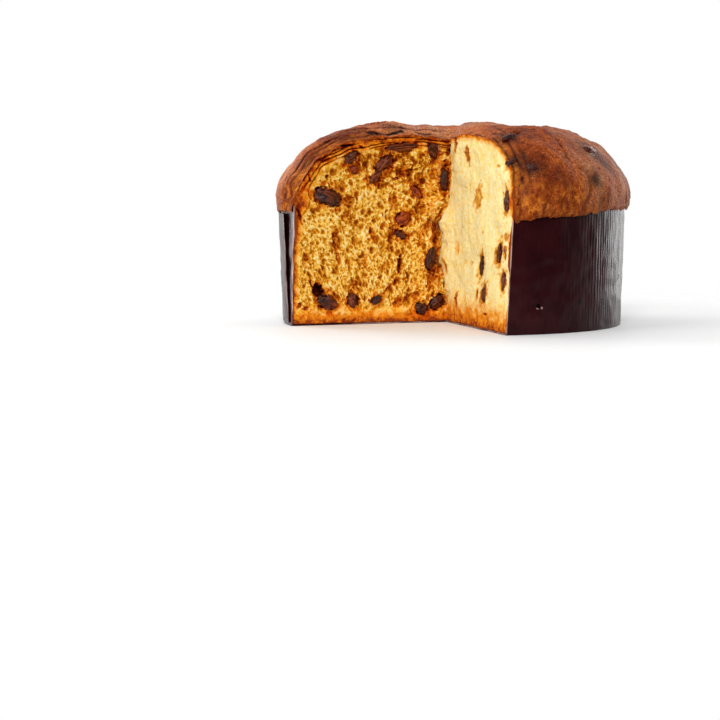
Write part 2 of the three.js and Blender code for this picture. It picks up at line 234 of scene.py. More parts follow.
# Creases and holes in the skin: points on them, how deep and how wide
CREASES = [
    ([(-52.3, -17.3, 115.4), (-48.4, -16.4, 115.7), (-44.8, -17.4, 114.6)], 3.2, 1.3),
    ([(-41.9, -15.7, 115.2), (-36.9, -12.8, 115.8), (-31.3, -7.7, 116.9)], 4.0, 1.3),
    ([(-23.5, -3.4, 115.8), (-17.7, -1.3, 115)], 2.2, 1.1),
    ([(-24.4, -10.3, 113.9), (-22.2, -9, 111.4)], 2.2, 1),
    ([(-77.7, -25.4, 109.1), (-65.8, -16.1, 116), (-56.8, -12.9, 118.3), (-30.6, -4, 119)], 1.5, 1),
    ([(-68.8, -23.5, 111.6), (-61.6, -19.8, 114.4), (-53.2, -16.1, 116.6)], 1.2, 0.9),
    ([(33.6, -95.3, 88.4), (33.4, -98.5, 81.7), (33, -103, 75.1)], 1.8, 0.9),
    ([(26.7, -69.2, 109.9), (30.2, -68.1, 111.9), (34.1, -62.5, 114.7)], 2.6, 1.8),
    ([(99.8, -41.3, 80.6), (100.7, -39.7, 75.3), (101.9, -36.7, 69.4)], 1.6, 0.9),
    ([(31.9, -61.1, 115), (48.5, -45.6, 116.4), (56.4, -64.6, 109.2), (60.1, -77.9, 99.8)], 1, 1.3),
    ([(-102.1, -31.3, 81.2), (-100.3, -30, 89.5), (-96.2, -26.6, 97.8), (-89.1, -23.3, 105)], 0.8, 0.9),
]

# Burnt spots of the crust: middle, reach, strength
BURNT_SPOTS = [
    ((80, -51, 106), 8.5, 0.9),
    ((86, -52.4, 98), 8, 0.7),
    ((77.4, -73.2, 86.9), 6.5, 0.95),
    ((70, -74, 92), 5, 0.5),
    ((84, -66, 76), 6, 0.4),
    ((30, -86, 98), 4.5, 0.8),
    ((60, -78, 99), 4, 0.5),
    ((101, -37, 74), 3.5, 0.6),
    ((-60, -14, 118), 5, 0.5),
    ((-38, -6, 119), 6, 0.6),
]

# How far the line where the two faces meet strays to the right, by height
VALLEY = [
    (4, 1), (13.5, 0.7), (23, 0), (32, -2), (38, -4.4), (42, -4.2), (48.7, -1.8),
    (56, -3.4), (61.5, -4.6), (66, -2.2), (72.6, 1.2), (81, 2.2), (89, 2.8), (105, 1.8),
]
VALLEY_WIDTH = 9

# Marks on the cut faces, their darkness partly real brown stain and partly painted shade in their hollows:
# along and up, half length, half width, tilt in the picture, depth, darkness
FACE_MARKS = {
    "left": [
        (73.8, 50.2, 8.6, 1.7, -78, 3, 0.5), (70.9, 40.2, 3.8, 1.5, -75, 2.2, 0.32),
        (92.4, 39.9, 4.6, 1.5, 90, 2, 0.29), (83.7, 20.8, 4.8, 3.3, -70, 4.5, 1.5),
        (31.0, 36.9, 6, 1.2, 80, 2.5, 0.85), (33.2, 26.5, 3.2, 1.7, 65, 2, 0.54),
        (38.6, 21.1, 5, 1, 50, 1.5, 0.5), (7.6, 28.8, 9, 3, 50, 2.5, 0.5),
        (32.3, 13.0, 4, 2.4, 45, 1.5, 0.5), (36.1, 74.0, 3.2, 2, 70, 1, 0.43),
        (49.5, 54.7, 5, 1.9, -65, 1.5, 0.36), (37.9, 51.3, 2.3, 1.3, -80, 1.2, 0.43),
        (25.0, 52.7, 4.2, 1.5, 50, 1.6, 0.43), (2.2, 68.4, 4, 1.1, 75, 1.4, 0.54),
        (30.3, 92.9, 4.8, 3.8, 20, 2.4, 0.29), (33.4, 92.3, 2.6, 0.8, 85, 1.5, 0.9),
        (34.7, 88.2, 2.8, 0.9, 10, 1.2, 0.95), (61.2, 78.4, 3.2, 1.3, -70, 1.3, 0.54),
        (99.7, 80.6, 4.8, 0.8, 75, 1.6, 0.9), (95.6, 81.5, 3, 1.4, 70, 1, 0.43),
        (82.3, 98.9, 4.4, 1.2, 8, 1.2, 0.8), (68.6, 107.5, 4.8, 0.8, 5, 1.6, 0.9),
        (58.6, 106.8, 1.7, 1, -40, 1.2, 0.9), (75.2, 109.0, 5, 0.8, 25, 1.3, 0.47),
        (90.8, 93.5, 1.9, 1, 30, 1, 0.54), (95.1, 89.4, 2.4, 1.7, 60, 1, 1),
        (91.9, 88.2, 3.2, 0.7, -65, 1.2, 0.95), (97.1, 67.0, 5, 1.1, -80, 1.2, 0.85),
        (61.4, 22.8, 4.4, 3.1, 90, 2.2, 0.18), (0.7, 105.0, 2.6, 2, 60, 2, 0.85),
        (6.9, 101.0, 3.8, 0.8, 45, 1.2, 0.43), (3.4, 99.0, 1.3, 0.9, 30, 1.6, 1),
        (-0.9, 98.0, 1.2, 0.9, 30, 1.6, 1), (2.7, 96.1, 1.4, 0.7, 20, 1.4, 1),
        (95.2, 12.3, 1.9, 1.3, 60, 1, 0.85), (91.0, 10.7, 1.6, 1.1, 30, 1, 0.85),
        (11.0, 61.7, 6, 1.6, 70, 1.8, 0.36), (42.1, 60.1, 3, 1.2, 60, 1.2, 0.4),
        (17.9, 50.8, 5, 1.5, 75, 1.4, 0.32), (69.4, 73.5, 3, 1.2, 60, 1.2, 0.43),
        (54.0, 37.8, 4, 1.3, 80, 1.4, 0.36), (80.3, 89.5, 1.2, 0.9, 0, 1, 0.9),
        (23.5, 16.5, 6, 1.6, 30, 1.5, 0.36),
    ],
    "right": [
        (33.0, 102.2, 5.2, 2.6, 88, 0.5, 0.65), (14.4, 108.6, 3.2, 6, 0, 0.8, 0.7),
        (53.1, 19.5, 2.8, 2, 80, 0.8, 0.7), (19.8, 14.2, 5.4, 2.6, 80, 1.6, 0.85),
        (55.5, 83.5, 1.3, 2, 90, 0.3, 0.3), (31.8, 38.3, 1.2, 2, 90, 0.3, 0.4),
        (42.8, 38.1, 1.4, 2.6, 90, 0.3, 0.4), (95.5, 54.9, 2.2, 5, 90, 0.5, 0.5),
        (95.8, 46.2, 3.8, 3, 80, 0.8, 0.65), (67.7, 9.6, 0.8, 4, 90, 0.5, 0.8),
        (18.5, 46.5, 4.4, 2.6, 85, 0.5, 0.35), (79.9, 94.8, 0.8, 2.6, 90, 0.4, 0.5),
        (5.6, 34.2, 4.2, 1.4, 88, 0.7, 0.55), (28.1, 59.7, 1, 1.4, 60, 0.4, 0.6),
        (63.2, 56.7, 0.9, 1.2, 90, 0.3, 0.4),
    ],
}


# Noise and easing

def hashed(i, j, k):
    wave = np.sin(i * 127.1 + j * 311.7 + k * 74.7) * 43758.5453
    return (wave - np.floor(wave)) * 2 - 1


def noise(x, y, z=0.0):
    """Smooth noise from -1 to 1, the same as the solid's."""
    x, y, z = np.broadcast_arrays(*(np.asarray(n, float) for n in (x, y, z)))
    i, j, k = np.floor(x), np.floor(y), np.floor(z)
    u, v, w = ((t - n) ** 2 * (3 - 2 * (t - n)) for t, n in ((x, i), (y, j), (z, k)))

    def row(b, c):
        return hashed(i, b, c) * (1 - u) + hashed(i + 1, b, c) * u

    low = row(j, k) * (1 - v) + row(j + 1, k) * v
    high = row(j, k + 1) * (1 - v) + row(j + 1, k + 1) * v
    return low * (1 - w) + high * w


def layered(x, y, z=0.0, octaves=3):
    """Noise with finer noise on top of it."""
    total, share = 0, 1
    for octave in range(octaves):
        scale = 2.03 ** octave
        total = total + share * noise(x * scale + 7.3 * octave, y * scale, z * scale)
        share *= 0.5
    return total


def bump(distance, width):
    return np.exp(-((distance / width) ** 2))


def ease(value, low, high):
    t = np.clip((value - low) / (high - low), 0, 1)
    return t * t * (3 - 2 * t)


def random_in_cell(i, j, seed):
    """The same number from 0 to 1 each time for one cell."""
    return hashed(i + 0.5, j + 0.25, seed) * 0.5 + 0.5


# The cut's two faces

def cut_face(side, height):
    """Unit vectors at a height: along runs out from the vertex line, into runs into the cake."""
    if side == "left":
        angle = np.radians(LEFT_AZIMUTH + LEFT_TWIST * height)
        sign = -1
    else:
        angle = np.radians(RIGHT_AZIMUTH + RIGHT_TWIST * height)
        sign = 1
    along = (np.sin(angle), -np.cos(angle))
    into = (sign * np.cos(angle), sign * np.sin(angle))
    return along, into


def face_point(side, along, height, depth, stray=0):
    """Place of a point on a face or behind it, with the whole face strayed to the right."""
    out, into = cut_face(side, height)
    x = VERTEX[0] + stray + out[0] * along + into[0] * depth
    y = VERTEX[1] + out[1] * along + into[1] * depth
    return np.stack(np.broadcast_arrays(x, y, np.asarray(height, float)), axis=-1)


def depth_behind(side, x, y, height):
    _, into = cut_face(side, height)
    return (x - VERTEX[0]) * into[0] + (y - VERTEX[1]) * into[1]


def distance_from_cut(x, y, height):
    both = np.maximum(depth_behind("left", x, y, height), depth_behind("right", x, y, height))
    return np.maximum(0, both)


def crumb_relief(side, along, height):
    shift = 0 if side == "left" else 40
    swell = noise(along / CRUMB_SWELL_SIZE + shift, height / CRUMB_SWELL_SIZE)
    pores = noise(along / CRUMB_PORE_SIZE + shift, height / CRUMB_PORE_SIZE, 5)
    if side == "left":
        torn = bump(along - TORN_REACH / 3, TORN_REACH / 1.5)
    else:
        torn = 0.3 * bump(along, 8)
    shreds = noise(along / 5, height / 7, 9)
    return CRUMB_SWELL * swell + CRUMB_PORES * pores + TORN_DEPTH * torn * shreds


def raggedness(along, height):
    """How far a face strays to the right at a place, most of all at the line where both meet."""
    shift = np.interp(height, *zip(*VALLEY)) + 0.7 * noise(height / 2.3, 5)
    return shift * bump(along, VALLEY_WIDTH)


def face_place(side, x, y, height):
    """Along and depth of a point, the way back from on_cut_face."""
    out, into = cut_face(side, height)
    along = (x - VERTEX[0]) * out[0] + (y - VERTEX[1]) * out[1]
    across = x - VERTEX[0] - raggedness(along, height)
    along = across * out[0] + (y - VERTEX[1]) * out[1]
    return along, across * into[0] + (y - VERTEX[1]) * into[1]


def on_cut_face(side, along, height, depth):
    return face_point(side, along, height, depth, raggedness(along, height))


# The crown's form

def beside_fold(x, y, fold):
    """The share of a fold's line that a place has passed, and how far it lies off the line."""
    start, end, bow, _ = fold
    run = np.subtract(end, start)
    length = np.hypot(*run)
    px, py = x - start[0], y - start[1]
    share = (px * run[0] + py * run[1]) / length**2
    return share, (px * run[1] - py * run[0]) / length - bow * np.sin(np.pi * np.clip(share, 0, 1))


def fold_step(x, y, fold):
    """Lift of the skin on one side of a fold and drop on the other."""
    share, off = beside_fold(x, y, fold)
    fade = ease(share, -0.1, 0.2) * (1 - ease(share, 0.8, 1.1))
    return fade * fold[-1] * np.sign(off) * bump(np.abs(off) - 1.5, FOLD_WIDTH)


def beyond_fold(x, y, fold):
    """1 on the right of a fold's line, 0 on its left."""
    share, off = beside_fold(x, y, fold)
    return (1 - ease(off, -3, 0)) * ease(share, -0.1, 0.1)


def crown_swell(x, y, height):
    """How far the skin stands out from the crown's plain dome."""
    lobes = sum(lift * bump(np.hypot(x - lx, y - ly), reach) for lx, ly, reach, lift in CROWN_LOBES)
    folds = sum(fold_step(x, y, fold) for fold in CROWN_FOLDS)
    knobs = 1.1 * noise(x / 17, y / 17, height / 17) + 0.8 * noise(x / 8, y / 8, height / 8)
    dips = 0
    for (dx, dy, dz), (wide, long, tall), depth in CROWN_DIPS:
        away = ((x - dx) / wide) ** 2 + ((y - dy) / long) ** 2 + ((height - dz) / tall) ** 2
        dips = dips + depth * np.exp(-away)
    roll = EDGE_ROLL * bump(distance_from_cut(x, y, height), EDGE_ROLL_WIDTH)
    return lobes + folds + knobs - dips - roll


def lip_height(azimuth):
    """Height of the lip's edge, which droops beside the right cut."""
    from_cut = np.degrees(np.mod(azimuth - math.radians(RIGHT_AZIMUTH) + np.pi, 2 * np.pi) - np.pi)
    droop = LIP_DROOP * bump(from_cut, LIP_DROOP_WIDTH)
    rise = 2.2 * bump(from_cut - 66, 24) - 2 * bump(from_cut - 25, 12)
    wave = LIP_WAVE * noise(np.cos(azimuth) * 3 + 7, np.sin(azimuth) * 3)
    return LIP_HEIGHT + rise + wave - droop


def under_skin(x, y, height, share=1.0):
    """How deep a place lies under the crust: 0 at the skin, 1 where plain crumb starts."""
    radius = np.hypot(x, y)
    across = np.clip(radius / CROWN_RADIUS, 1e-3, None)
    above = np.clip((height - CROWN_WAIST) / CROWN_RISE, 1e-3, None)
    round_power, flat_power = 2 / CROWN_ROUNDNESS, 2 / CROWN_FLATNESS
    level = across**round_power + above**flat_power
    slope_out = round_power * across ** (round_power - 1) / CROWN_RADIUS
    slope_up = flat_power * above ** (flat_power - 1) / CROWN_RISE
    dome = (1 - level) / np.hypot(slope_out, slope_up) + crown_swell(x, y, height)
    wall = CASE_TOP_RADIUS - 1 - radius + 9 * ease(height, CASE_HEIGHT - 1, CASE_HEIGHT + 14)
    floor = height - PAPER - GAP
    corner = bump(height - CASE_HEIGHT - 1, 6) * ease(radius, 88, 99)
    under_dome = SIDE_CRUST + (DOME_CRUST - SIDE_CRUST) * ease(height, 62, 84)
    depth = np.minimum(dome / under_dome, wall / WALL_CRUST) / share
    return np.minimum(depth, floor / (FLOOR_CRUST * (2 - share))) * (1 - 0.85 * corner)


# Meshes from grids of points

def grid_quads(rows, columns, wrap_rows=False, wrap_columns=False):
    """Faces of a grid of points, row by row."""
    r = np.arange(rows if wrap_rows else rows - 1)
    c = np.arange(columns if wrap_columns else columns - 1)
    r, c = np.meshgrid(r, c, indexing="ij")
    r2, c2 = (r + 1) % rows, (c + 1) % columns
    quads = [r * columns + c, r2 * columns + c, r2 * columns + c2, r * columns + c2]
    return np.stack([q.ravel() for q in quads], axis=1)


def around_axis(radius, azimuth, height):
    """Points at a distance from the cake's axis. Azimuth 0 is the front, and it grows to the right."""
    parts = np.broadcast_arrays(radius * np.sin(azimuth), -radius * np.cos(azimuth), height)
    return np.stack(parts, axis=-1)


def new_object(name, data):
    made = bpy.data.objects.new(name, data)
    bpy.context.scene.collection.objects.link(made)
    return made


def make_mesh(name, points, faces):
    """A new object from points in millimetres about the cake's axis."""
    mesh = bpy.data.meshes.new(name)
    placed = (np.asarray(points) + CAKE_AXIS) * MM
    mesh.from_pydata(placed.tolist(), [], [tuple(int(n) for n in face) for face in faces])
    mesh.validate()
    mesh.update()
    return new_object(name, mesh)


def coordinates(mesh):
    flat = np.empty(len(mesh.vertices) * 3)
    mesh.vertices.foreach_get("co", flat)
    return flat.reshape(-1, 3)


def mesh_points(piece):
    """A piece's points in millimetres about the cake's axis."""
    return coordinates(piece.data) / MM - CAKE_AXIS


def set_points(piece, points):
    placed = (points + CAKE_AXIS) * MM
    piece.data.vertices.foreach_set("co", placed.ravel())
    piece.data.update()


def make_solid(name, points, faces):
    """A closed piece, with its points welded and its faces turned outwards."""
    piece = make_mesh(name, points, faces)
    work = bmesh.new()
    work.from_mesh(piece.data)
    bmesh.ops.remove_doubles(work, verts=work.verts, dist=1e-6)
    bmesh.ops.triangulate(work, faces=[f for f in work.faces if len(f.verts) > 4])
    bmesh.ops.recalc_face_normals(work, faces=work.faces)
    if work.calc_volume(signed=True) < 0:
        bmesh.ops.reverse_faces(work, faces=work.faces)
    work.to_mesh(piece.data)
    work.free()
    piece.data.update()
    return piece


def boolean(piece, other, operation):
    """Applies one cut or one intersection to a piece."""
    step = piece.modifiers.new("cut", "BOOLEAN")
    step.operation = operation
    step.solver = "MANIFOLD"
    step.object = other
    bpy.context.view_layer.update()
    evaluated = piece.evaluated_get(bpy.context.evaluated_depsgraph_get())
    result = bpy.data.meshes.new_from_object(evaluated)
    old = piece.data
    piece.modifiers.clear()
    piece.data = result
    bpy.data.meshes.remove(old)
    return piece


def drop(piece):
    mesh = piece.data
    bpy.data.objects.remove(piece)
    bpy.data.meshes.remove(mesh)


def add_field(piece, name, values):
    attribute = piece.data.attributes.new(name, "FLOAT", "POINT")
    attribute.data.foreach_set("value", np.asarray(values, np.float32))


def shade(piece, sharp_degrees=70):
    """Smooth shading, with an edge left where faces meet at more than an angle."""
    piece.data.polygons.foreach_set("use_smooth", np.ones(len(piece.data.polygons), bool))
    piece.data.set_sharp_from_angle(angle=math.radians(sharp_degrees))


# Cake

def crown_outline():
    """Radius and height of the plain dome, in even steps from the lip to the top."""
    angle = np.linspace(0, np.pi / 2, 400)
    radius = CROWN_RADIUS * np.cos(angle) ** CROWN_ROUNDNESS
    height = CROWN_WAIST + CROWN_RISE * np.sin(angle) ** CROWN_FLATNESS
    radius = np.concatenate([[LIP_RADIUS], radius])
    height = np.concatenate([[LIP_HEIGHT], height])
    radius[-1] = 0
    length = np.concatenate([[0], np.cumsum(np.hypot(np.diff(radius), np.diff(height)))])
    even = np.linspace(0, length[-1], CROWN_RINGS + 1)
    return np.interp(even, length, radius), np.interp(even, length, height)


def stretched_zone(x, y, height):
    """Where the dough tore and stretched above the lip, in vertical strands."""
    azimuth = np.arctan2(x, -y)
    patches = ease(noise(np.cos(azimuth) * 2.2, np.sin(azimuth) * 2.2, 8), -0.7, 0.1)
    near_cut = bump(distance_from_cut(x, y, height) - 14, 26)
    return (1 - ease(height, 76, 97)) * np.maximum(patches, near_cut)


def strand_gaps(x, y, height):
    """The gaps between those strands."""
    around = np.arctan2(x, -y) * CROWN_RADIUS
    wander = 2.6 * noise(around / 8, height / 9, 4) + 1.1 * noise(around / 3, height / 3.5, 6)
    broad = 1 - np.abs(noise((around + wander) / 5.4, height / 17, 2))
    narrow = 1 - np.abs(noise((around + wander) / 2.6, height / 9, 12))
    return np.maximum(ease(broad, 0.74, 0.98), 0.6 * ease(narrow, 0.72, 0.98))


def rim_lines(x, y, height):
    """Long creases in the rolled skin, side by side with the cut. They also mark where the skin is darkened
    with painted shade.
    """
    away = distance_from_cut(x, y, height)
    lines = 0
    for level, width, seed in RIM_LINES:
        wander = level + 1.1 * noise(x / 11, height / 11, seed) + 0.5 * noise(x / 3.5, height / 3.5, seed)
        there = ease(noise(x / 13 + seed, height / 13, seed), -0.25, 0.2)
        lines = np.maximum(lines, there * bump(away - wander, width))
    return lines


def crease_depth(x, y, z):
    """Depth of the creases and holes in the skin at each place, which also sets the painted shade in them.
    """
    x, y, z = np.broadcast_arrays(x, y, z)
    places = np.stack([x, y, z], axis=-1)
    wobble = 1 + 0.45 * noise(x / 2.3, y / 2.3, z / 2.3)
    depth = np.zeros(x.shape)
    for line, deep, wide in CREASES:
        near = np.full(x.shape, 99.0)
        for start, end in zip(line, line[1:]):
            run = np.subtract(end, start)
            share = np.clip(((places - start) @ run) / (run @ run), 0, 1)
            near = np.minimum(near, np.linalg.norm(places - start - share[..., None] * run, axis=-1))
        depth = np.maximum(depth, deep * wobble * bump(near, wide * wobble))
    return depth


def crust_relief(x, y, height):
    """Fine relief of the skin: wrinkles, grain, blisters and the cracks where the dough stretched."""
    wrinkles = 1 - np.abs(layered(x / 5.5, y / 5.5, height / 5.5))
    grain = noise(x / 2.1, y / 2.1, height / 2.1)
    patches = ease(noise(x / 14 + 3, y / 14, height / 14), -0.4, 0.4)
    gaps = -1.2 * strand_gaps(x, y, height) * stretched_zone(x, y, height)
    rim = -0.9 * rim_lines(x, y, height)
    return 0.6 * (wrinkles - 0.6) * patches + 0.22 * grain + gaps + rim - crease_depth(x, y, height)


def lip_hang(azimuth):
    """How far the lip's edge lies above its plain height, with a frill, and a tongue beside the cut."""
    around = azimuth * CROWN_RADIUS
    frill = 0.8 * noise(around / 4.5, 0, 31) + 0.45 * noise(around / 1.9, 0, 37)
    from_cut = np.degrees(np.mod(azimuth - math.radians(RIGHT_AZIMUTH), 2 * np.pi))
    tongue = 1.8 * bump(from_cut - 3, 3.5) * (1 + 0.5 * noise(around / 1.6, 0, 43))
    return lip_height(azimuth) - LIP_HEIGHT + frill - tongue


def skin_rings(radius, height, azimuth, hang):
    """Radius and height all the way round each ring of the skin, from the lip up."""
    run_r, run_z = np.gradient(radius), np.gradient(height)
    length = np.hypot(run_r, run_z)
    out_r, out_z = run_z / length, -run_r / length
    rings = []
    for n in range(CROWN_RINGS):
        x, y = radius[n] * np.sin(azimuth), -radius[n] * np.cos(azimuth)
        share = n * 24 / CROWN_RINGS
        swell = crown_swell(x, y, height[n]) * ease(share, -1, 3)
        swell = swell + crust_relief(x, y, height[n]) * ease(share, 0, 0.5)
        drooped = height[n] + out_z[n] * swell + hang * (1 - ease(share, 0, 3))
        tucked = LIP_TUCK * (1 - ease(drooped - LIP_HEIGHT - hang, 0, LIP_TUCK_HEIGHT)) ** 2
        rings.append((radius[n] + out_r[n] * swell - tucked, drooped))
    return rings


def whole_cake():
    """Crust and crumb in one closed piece, before the cut."""
    azimuth = np.arange(TURN_STEPS) / TURN_STEPS * 2 * np.pi
    hang = lip_hang(azimuth)
    inside = PAPER + GAP
    under = [
        (CASE_BASE_RADIUS - inside, inside),
        (CASE_TOP_RADIUS - inside, CASE_HEIGHT + GAP),
        (CASE_TOP_RADIUS + GAP, CASE_HEIGHT + GAP),
        (CASE_TOP_RADIUS + GAP + 0.5, LIP_HEIGHT + hang),
    ]
    radius, height = crown_outline()
    rings = under + skin_rings(radius, height, azimuth, hang)
    grid = np.array([around_axis(r, azimuth, z) for r, z in rings])
    count = len(grid)
    top = [0, 0, height[-1] + float(crown_swell(0.0, 0.0, height[-1]))]
    points = np.concatenate([grid.reshape(-1, 3), [[0, 0, inside], top]])
    faces = list(grid_quads(count, TURN_STEPS, wrap_columns=True))
    low, high = count * TURN_STEPS, count * TURN_STEPS + 1
    last = (count - 1) * TURN_STEPS
    for n in range(TURN_STEPS):
        after = (n + 1) % TURN_STEPS
        faces.append((low, after, n))
        faces.append((high, last + n, last + after))
    return make_solid("whole_cake", points, faces)


def mark_fields(side, along, height):
    """How deep and how dark the marks on a cut face are at each place. The darkness is partly real stain
    and partly painted shade in the hollows.
    """
    depth, dark = np.zeros_like(along), np.zeros_like(along)
    ragged = 1 + 0.6 * noise(along / 1.7, height / 1.7, 8) + 0.35 * noise(along / 0.8, height / 0.8, 18)
    mirror = -1 if side == "left" else 1
    for place, rise, half_length, half_width, tilt, deep, darkness in FACE_MARKS[side]:
        a, h = (along - place) * mirror, height - rise
        cosine, sine = math.cos(math.radians(tilt)), math.sin(math.radians(tilt))
        level = ((a * cosine + h * sine) / half_length) ** 2 + ((h * cosine - a * sine) / half_width) ** 2
        level = level * ragged
        depth = np.maximum(depth, deep * np.sqrt(np.clip(1 - level, 0, None)))
        dark = np.maximum(dark, darkness * (1 - ease(level, 0.25, 1.8)))
    return depth, dark


def pits(x, y, cell, deep, seed, filled):
    """Depth of a field of round pits, one at most in each cell: the deepest one at each place."""
    i, j = np.floor(x / cell), np.floor(y / cell)
    depth = np.zeros_like(x)
    for di in (-1, 0, 1):
        for dj in (-1, 0, 1):
            a, b = i + di, j + dj
            cx = (a + 0.15 + 0.7 * random_in_cell(a, b, seed)) * cell
            cy = (b + 0.15 + 0.7 * random_in_cell(a, b, seed + 1)) * cell
            size = PIT_SMALL + (PIT_LARGE - PIT_SMALL) * random_in_cell(a, b, seed + 2)
            there = random_in_cell(a, b, seed + 3) < filled
            square = ((x - cx) ** 2 + (y - cy) ** 2) / (size * cell) ** 2
            pit = size / PIT_LARGE * deep * np.sqrt(np.clip(1 - square, 0, None))
            depth = np.maximum(depth, np.where(there, pit, 0))
    return depth


def pore_depth(side, along, height):
    """Depth of the open pores. The largest ones come on top of the smaller ones."""
    middle, below, pull = PORE_FAN[side]
    across, up = along - middle, height - below
    turn = np.arctan2(across, up) * (60 - below) + 0.9 * layered(along / 3.1, height / 3.1, 2)
    reach = np.hypot(across, up) + 0.9 * layered(along / 3.1, height / 3.1, 6)
    largest, *others = [pits(turn, reach / (long * pull), *size) for long, *size in PORES]
    return 0.6 * largest + np.maximum.reduce(others)


def face_base(side, along, height):
    """Depth of the cut face before its pores."""
    return crumb_relief(side, along, height) * ease(along, 0, 4) - 0.5


def face_depth(side, a, h):
    """How far the open crumb lies behind the plane of the cut, with every pore, crease, mark and socket."""
    flat = on_cut_face(side, a, h, 0)
    skin = under_skin(flat[..., 0], flat[..., 1], h, CRUST_SHARE[side])
    open_crumb = ease(skin, 0.35, 1.0) * PORE_STRENGTH[side]
    depth = face_base(side, a, h)
    least = LEAST_PORES[side]
    depth = depth + pore_depth(side, a, h) * (least + (1 - least) * open_crumb)
    depth = depth + 0.2 * noise(a / 0.9, h / 0.9, 3) * (0.3 + 0.7 * PORE_STRENGTH[side])
    crust = (1 - ease(skin, 0.6, 1)) * PORE_STRENGTH[side]
    depth = depth + crust * 0.5 * layered(a / 2.6, h / 2.6, 12)
    for level, width, deep, seed in CRUST_CREASES:
        wander = level + 0.07 * noise(a / 14 + seed, h / 14) + 0.03 * noise(a / 4, h / 4, seed)
        there = ease(noise(a / 15, h / 15, seed), -0.35, 0.1) * (h > 64) * PORE_STRENGTH[side]
        depth = depth + deep * there * bump(skin - wander, width)
    marked, _ = mark_fields(side, a, h)
    depth = depth + marked
    return np.maximum(depth, fruit_sockets(side, a, h))


def crumb_sheet(side):
    """Points of one cut face, on a grid of places along and up."""
    along = np.arange(-0.01, FACE_REACH, CRUMB_STEP[side])
    height = np.arange(FACE_BOTTOM, FACE_TOP, CRUMB_STEP[side])
    a, h = np.meshgrid(along, height, indexing="ij")
    return on_cut_face(side, a, h, face_depth(side, a, h))


def slab(side):
    """A closed slab behind one cut face, with the open crumb as its front."""
    front = crumb_sheet(side)
    rows, columns = front.shape[:2]
    points = front.reshape(-1, 3)
    index = np.arange(rows * columns).reshape(rows, columns)
    rim = np.concatenate([index[:-1, 0], index[-1, :-1], index[:0:-1, -1], index[0, :0:-1]])
    height = points[rim, 2]
    along = np.arange(rows)[rim // columns] * CRUMB_STEP[side]
    shear = SLAB_DEPTH * mitre()
    stretched = -shear + along * (1 + shear / FACE_REACH)
    back = face_point(side, stretched, height, SLAB_DEPTH)
    middle = back.mean(axis=0)
    points = np.concatenate([points, back, [middle]])
    faces = list(grid_quads(rows, columns))
    first = rows * columns
    hub = first + len(rim)
    for n in range(len(rim)):
        after = (n + 1) % len(rim)
        faces.append((rim[n], first + n, first + after, rim[after]))
        faces.append((first + n, hub, first + after))
    return make_solid("slab_" + side, points, faces)


def mitre():
    """Tangent of half the angle between the two faces' inward directions, where the slabs meet."""
    _, left = cut_face("left", 60.0)
    _, right = cut_face("right", 60.0)
    cosine = left[0] * right[0] + left[1] * right[1]
    return math.tan(math.acos(cosine) / 2)


def slab_knife():
    """Everything in front of the slabs' backs, as one closed block."""
    depth = SLAB_DEPTH - SLAB_OVERLAP
    height = np.linspace(KNIFE_BOTTOM, KNIFE_TOP, KNIFE_ROWS)
    shear = depth * mitre()
    line = [face_point("left", place, height, depth) for place in (KNIFE_REACH, 60, -shear)]
    line += [face_point("right", place, height, depth) for place in (60, KNIFE_REACH)]
    for x in (220, 60, 0, -60, -220):
        line.append(np.stack([x + 0 * height, -220 + 0 * height, height], axis=1))
    count = len(line)
    faces = list(grid_quads(count, KNIFE_ROWS, wrap_rows=True))
    faces.append([n * KNIFE_ROWS for n in range(count)])
    faces.append([(n + 1) * KNIFE_ROWS - 1 for n in range(count)][::-1])
    return make_solid("slab_knife", np.array(line).reshape(-1, 3), faces)


# Fruit

def fruit_frames(nodes):
    """Middle and own axes of each piece of fruit, longest first, read from the frame's solids."""
    frames = {}
    for name, node in nodes.items():
        if not name.startswith(("raisin", "candied")):
            continue
        points = mesh_points(node)
        middle = points.mean(axis=0)
        _, _, axes = np.linalg.svd(points - middle, full_matrices=False)
        reach = np.abs((points - middle) @ axes.T).max(axis=0)
        frames[name] = (middle, axes, reach)
    return frames


def fruit_sockets(side, along, height):
    """How far the crumb gives way around each piece of fruit on a face."""
    places = on_cut_face(side, along, height, 0)
    _, into = cut_face(side, height)
    depth = np.full_like(along, -99.0)
    torn = 0.96 + 0.26 * noise(along / 1.9, height / 1.9, 14) + 0.16 * noise(along / 0.9, height / 0.9, 17)
    for name, (middle, axes, reach) in FRUIT.items():
        if side not in name and not (name == "candied_peel" and side == "right"):
            continue
        gap = (reach + 0.25) * torn[..., None]
        start = (places - middle) @ axes.T / gap
        step = np.stack([into[0], into[1], np.zeros_like(height)], axis=-1) @ axes.T / gap
        a = (step**2).sum(-1)
        b = (start * step).sum(-1)
        c = (start**2).sum(-1) - 1
        square = b * b - a * c
        far = (-b + np.sqrt(np.clip(square, 0, None))) / a
        depth = np.maximum(depth, np.where(square > 0, far, -99.0))
    return depth


